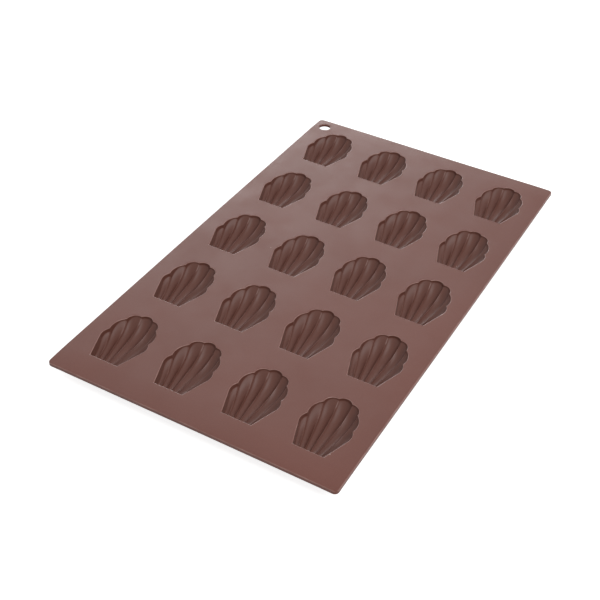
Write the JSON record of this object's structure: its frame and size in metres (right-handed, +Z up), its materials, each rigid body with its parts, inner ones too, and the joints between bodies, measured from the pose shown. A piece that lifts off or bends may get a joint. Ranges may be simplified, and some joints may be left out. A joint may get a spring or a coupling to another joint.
{
  "type": "silicone madeleine mould",
  "caption": "Flexible sheet mould for small shell-shaped cakes: rows of fluted cups hang below a thin flat sheet with a hanging hole in one corner.",
  "frame": {"origin": "middle of the sheet, on the surface that the feet of the cups stand on", "axes": "+Z up out of the cavities, +Y along the long side from the straight hinge ends to the fans of the shells, +X along the short side to the right"},
  "size_m": [0.175, 0.3, 0.0098],
  "materials": {
    "silicone": "satin"
  },
  "bodies": {
    "root": {"cup_row1_col1": "silicone", "cup_row1_col2": "silicone", "cup_row1_col3": "silicone", "cup_row1_col4": "silicone", "cup_row2_col1": "silicone", "cup_row2_col2": "silicone", "cup_row2_col3": "silicone", "cup_row2_col4": "silicone", "cup_row3_col1": "silicone", "cup_row3_col2": "silicone", "cup_row3_col3": "silicone", "cup_row3_col4": "silicone", "cup_row4_col1": "silicone", "cup_row4_col2": "silicone", "cup_row4_col3": "silicone", "cup_row4_col4": "silicone", "cup_row5_col1": "silicone", "cup_row5_col2": "silicone", "cup_row5_col3": "silicone", "cup_row5_col4": "silicone", "row_web_1_2": "silicone", "row_web_2_3": "silicone", "row_web_3_4": "silicone", "row_web_4_5": "silicone", "column_web_row1_1_2": "silicone", "column_web_row1_2_3": "silicone", "column_web_row1_3_4": "silicone", "column_web_row2_1_2": "silicone", "column_web_row2_2_3": "silicone", "column_web_row2_3_4": "silicone", "column_web_row3_1_2": "silicone", "column_web_row3_2_3": "silicone", "column_web_row3_3_4": "silicone", "column_web_row4_1_2": "silicone", "column_web_row4_2_3": "silicone", "column_web_row4_3_4": "silicone", "column_web_row5_1_2": "silicone", "column_web_row5_2_3": "silicone", "column_web_row5_3_4": "silicone", "front_margin": "silicone", "back_margin": "silicone", "left_margin": "silicone", "right_margin": "silicone", "hanging_eyelet": "silicone"}
  },
  "joints": []
}
